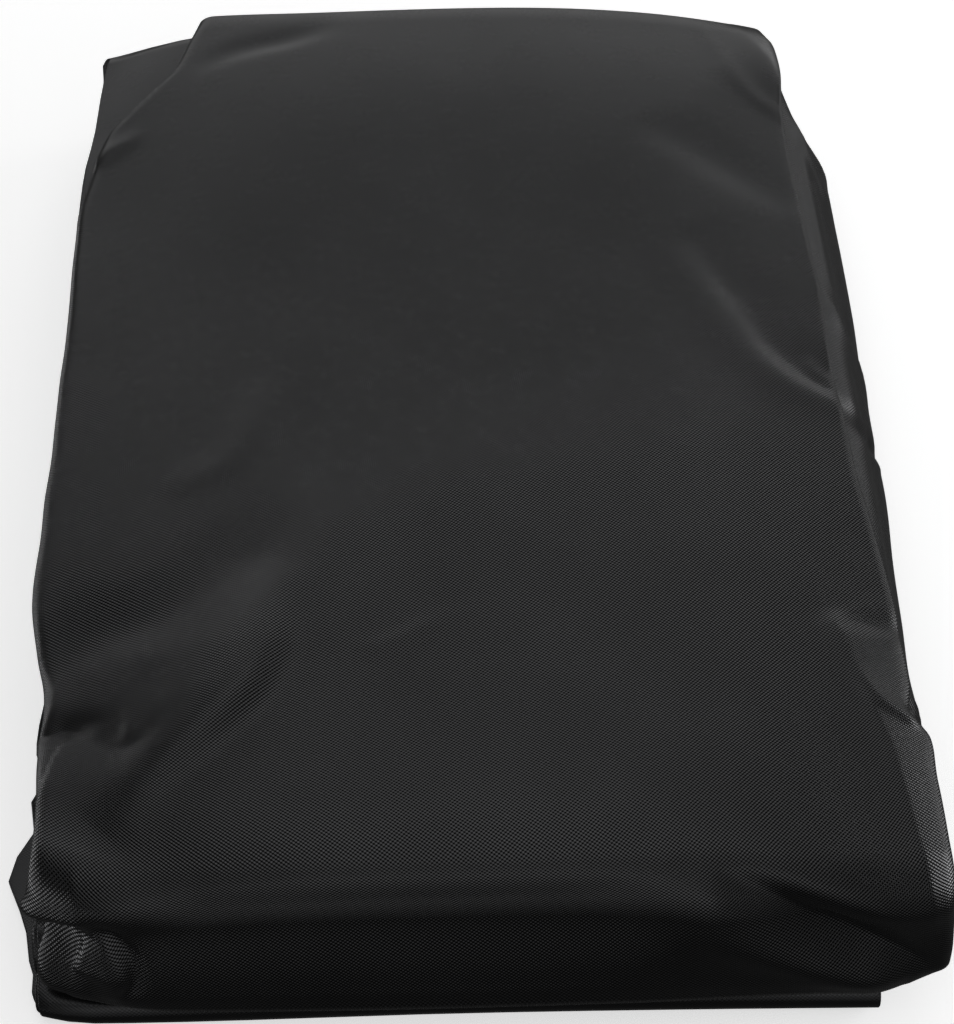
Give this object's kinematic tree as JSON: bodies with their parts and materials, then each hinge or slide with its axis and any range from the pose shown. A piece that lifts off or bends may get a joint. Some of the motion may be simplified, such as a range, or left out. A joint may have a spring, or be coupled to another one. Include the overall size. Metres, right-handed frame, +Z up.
{
  "type": "folded golf cart cover",
  "caption": "Golf cart cover of black coated cloth, folded back and forth into a flat rectangular packet with a rolled front end.",
  "frame": {"origin": "under the middle of the packet, on the surface it lies on", "axes": "+X to the right as seen from the rolled front end, +Y from the rolled front end to the back folds, +Z up"},
  "size_m": [0.3749, 0.5233, 0.088],
  "materials": {
    "cover_cloth": "matt coated plain weave"
  },
  "bodies": {
    "root": {"folded_cover": "cover_cloth"}
  },
  "joints": []
}
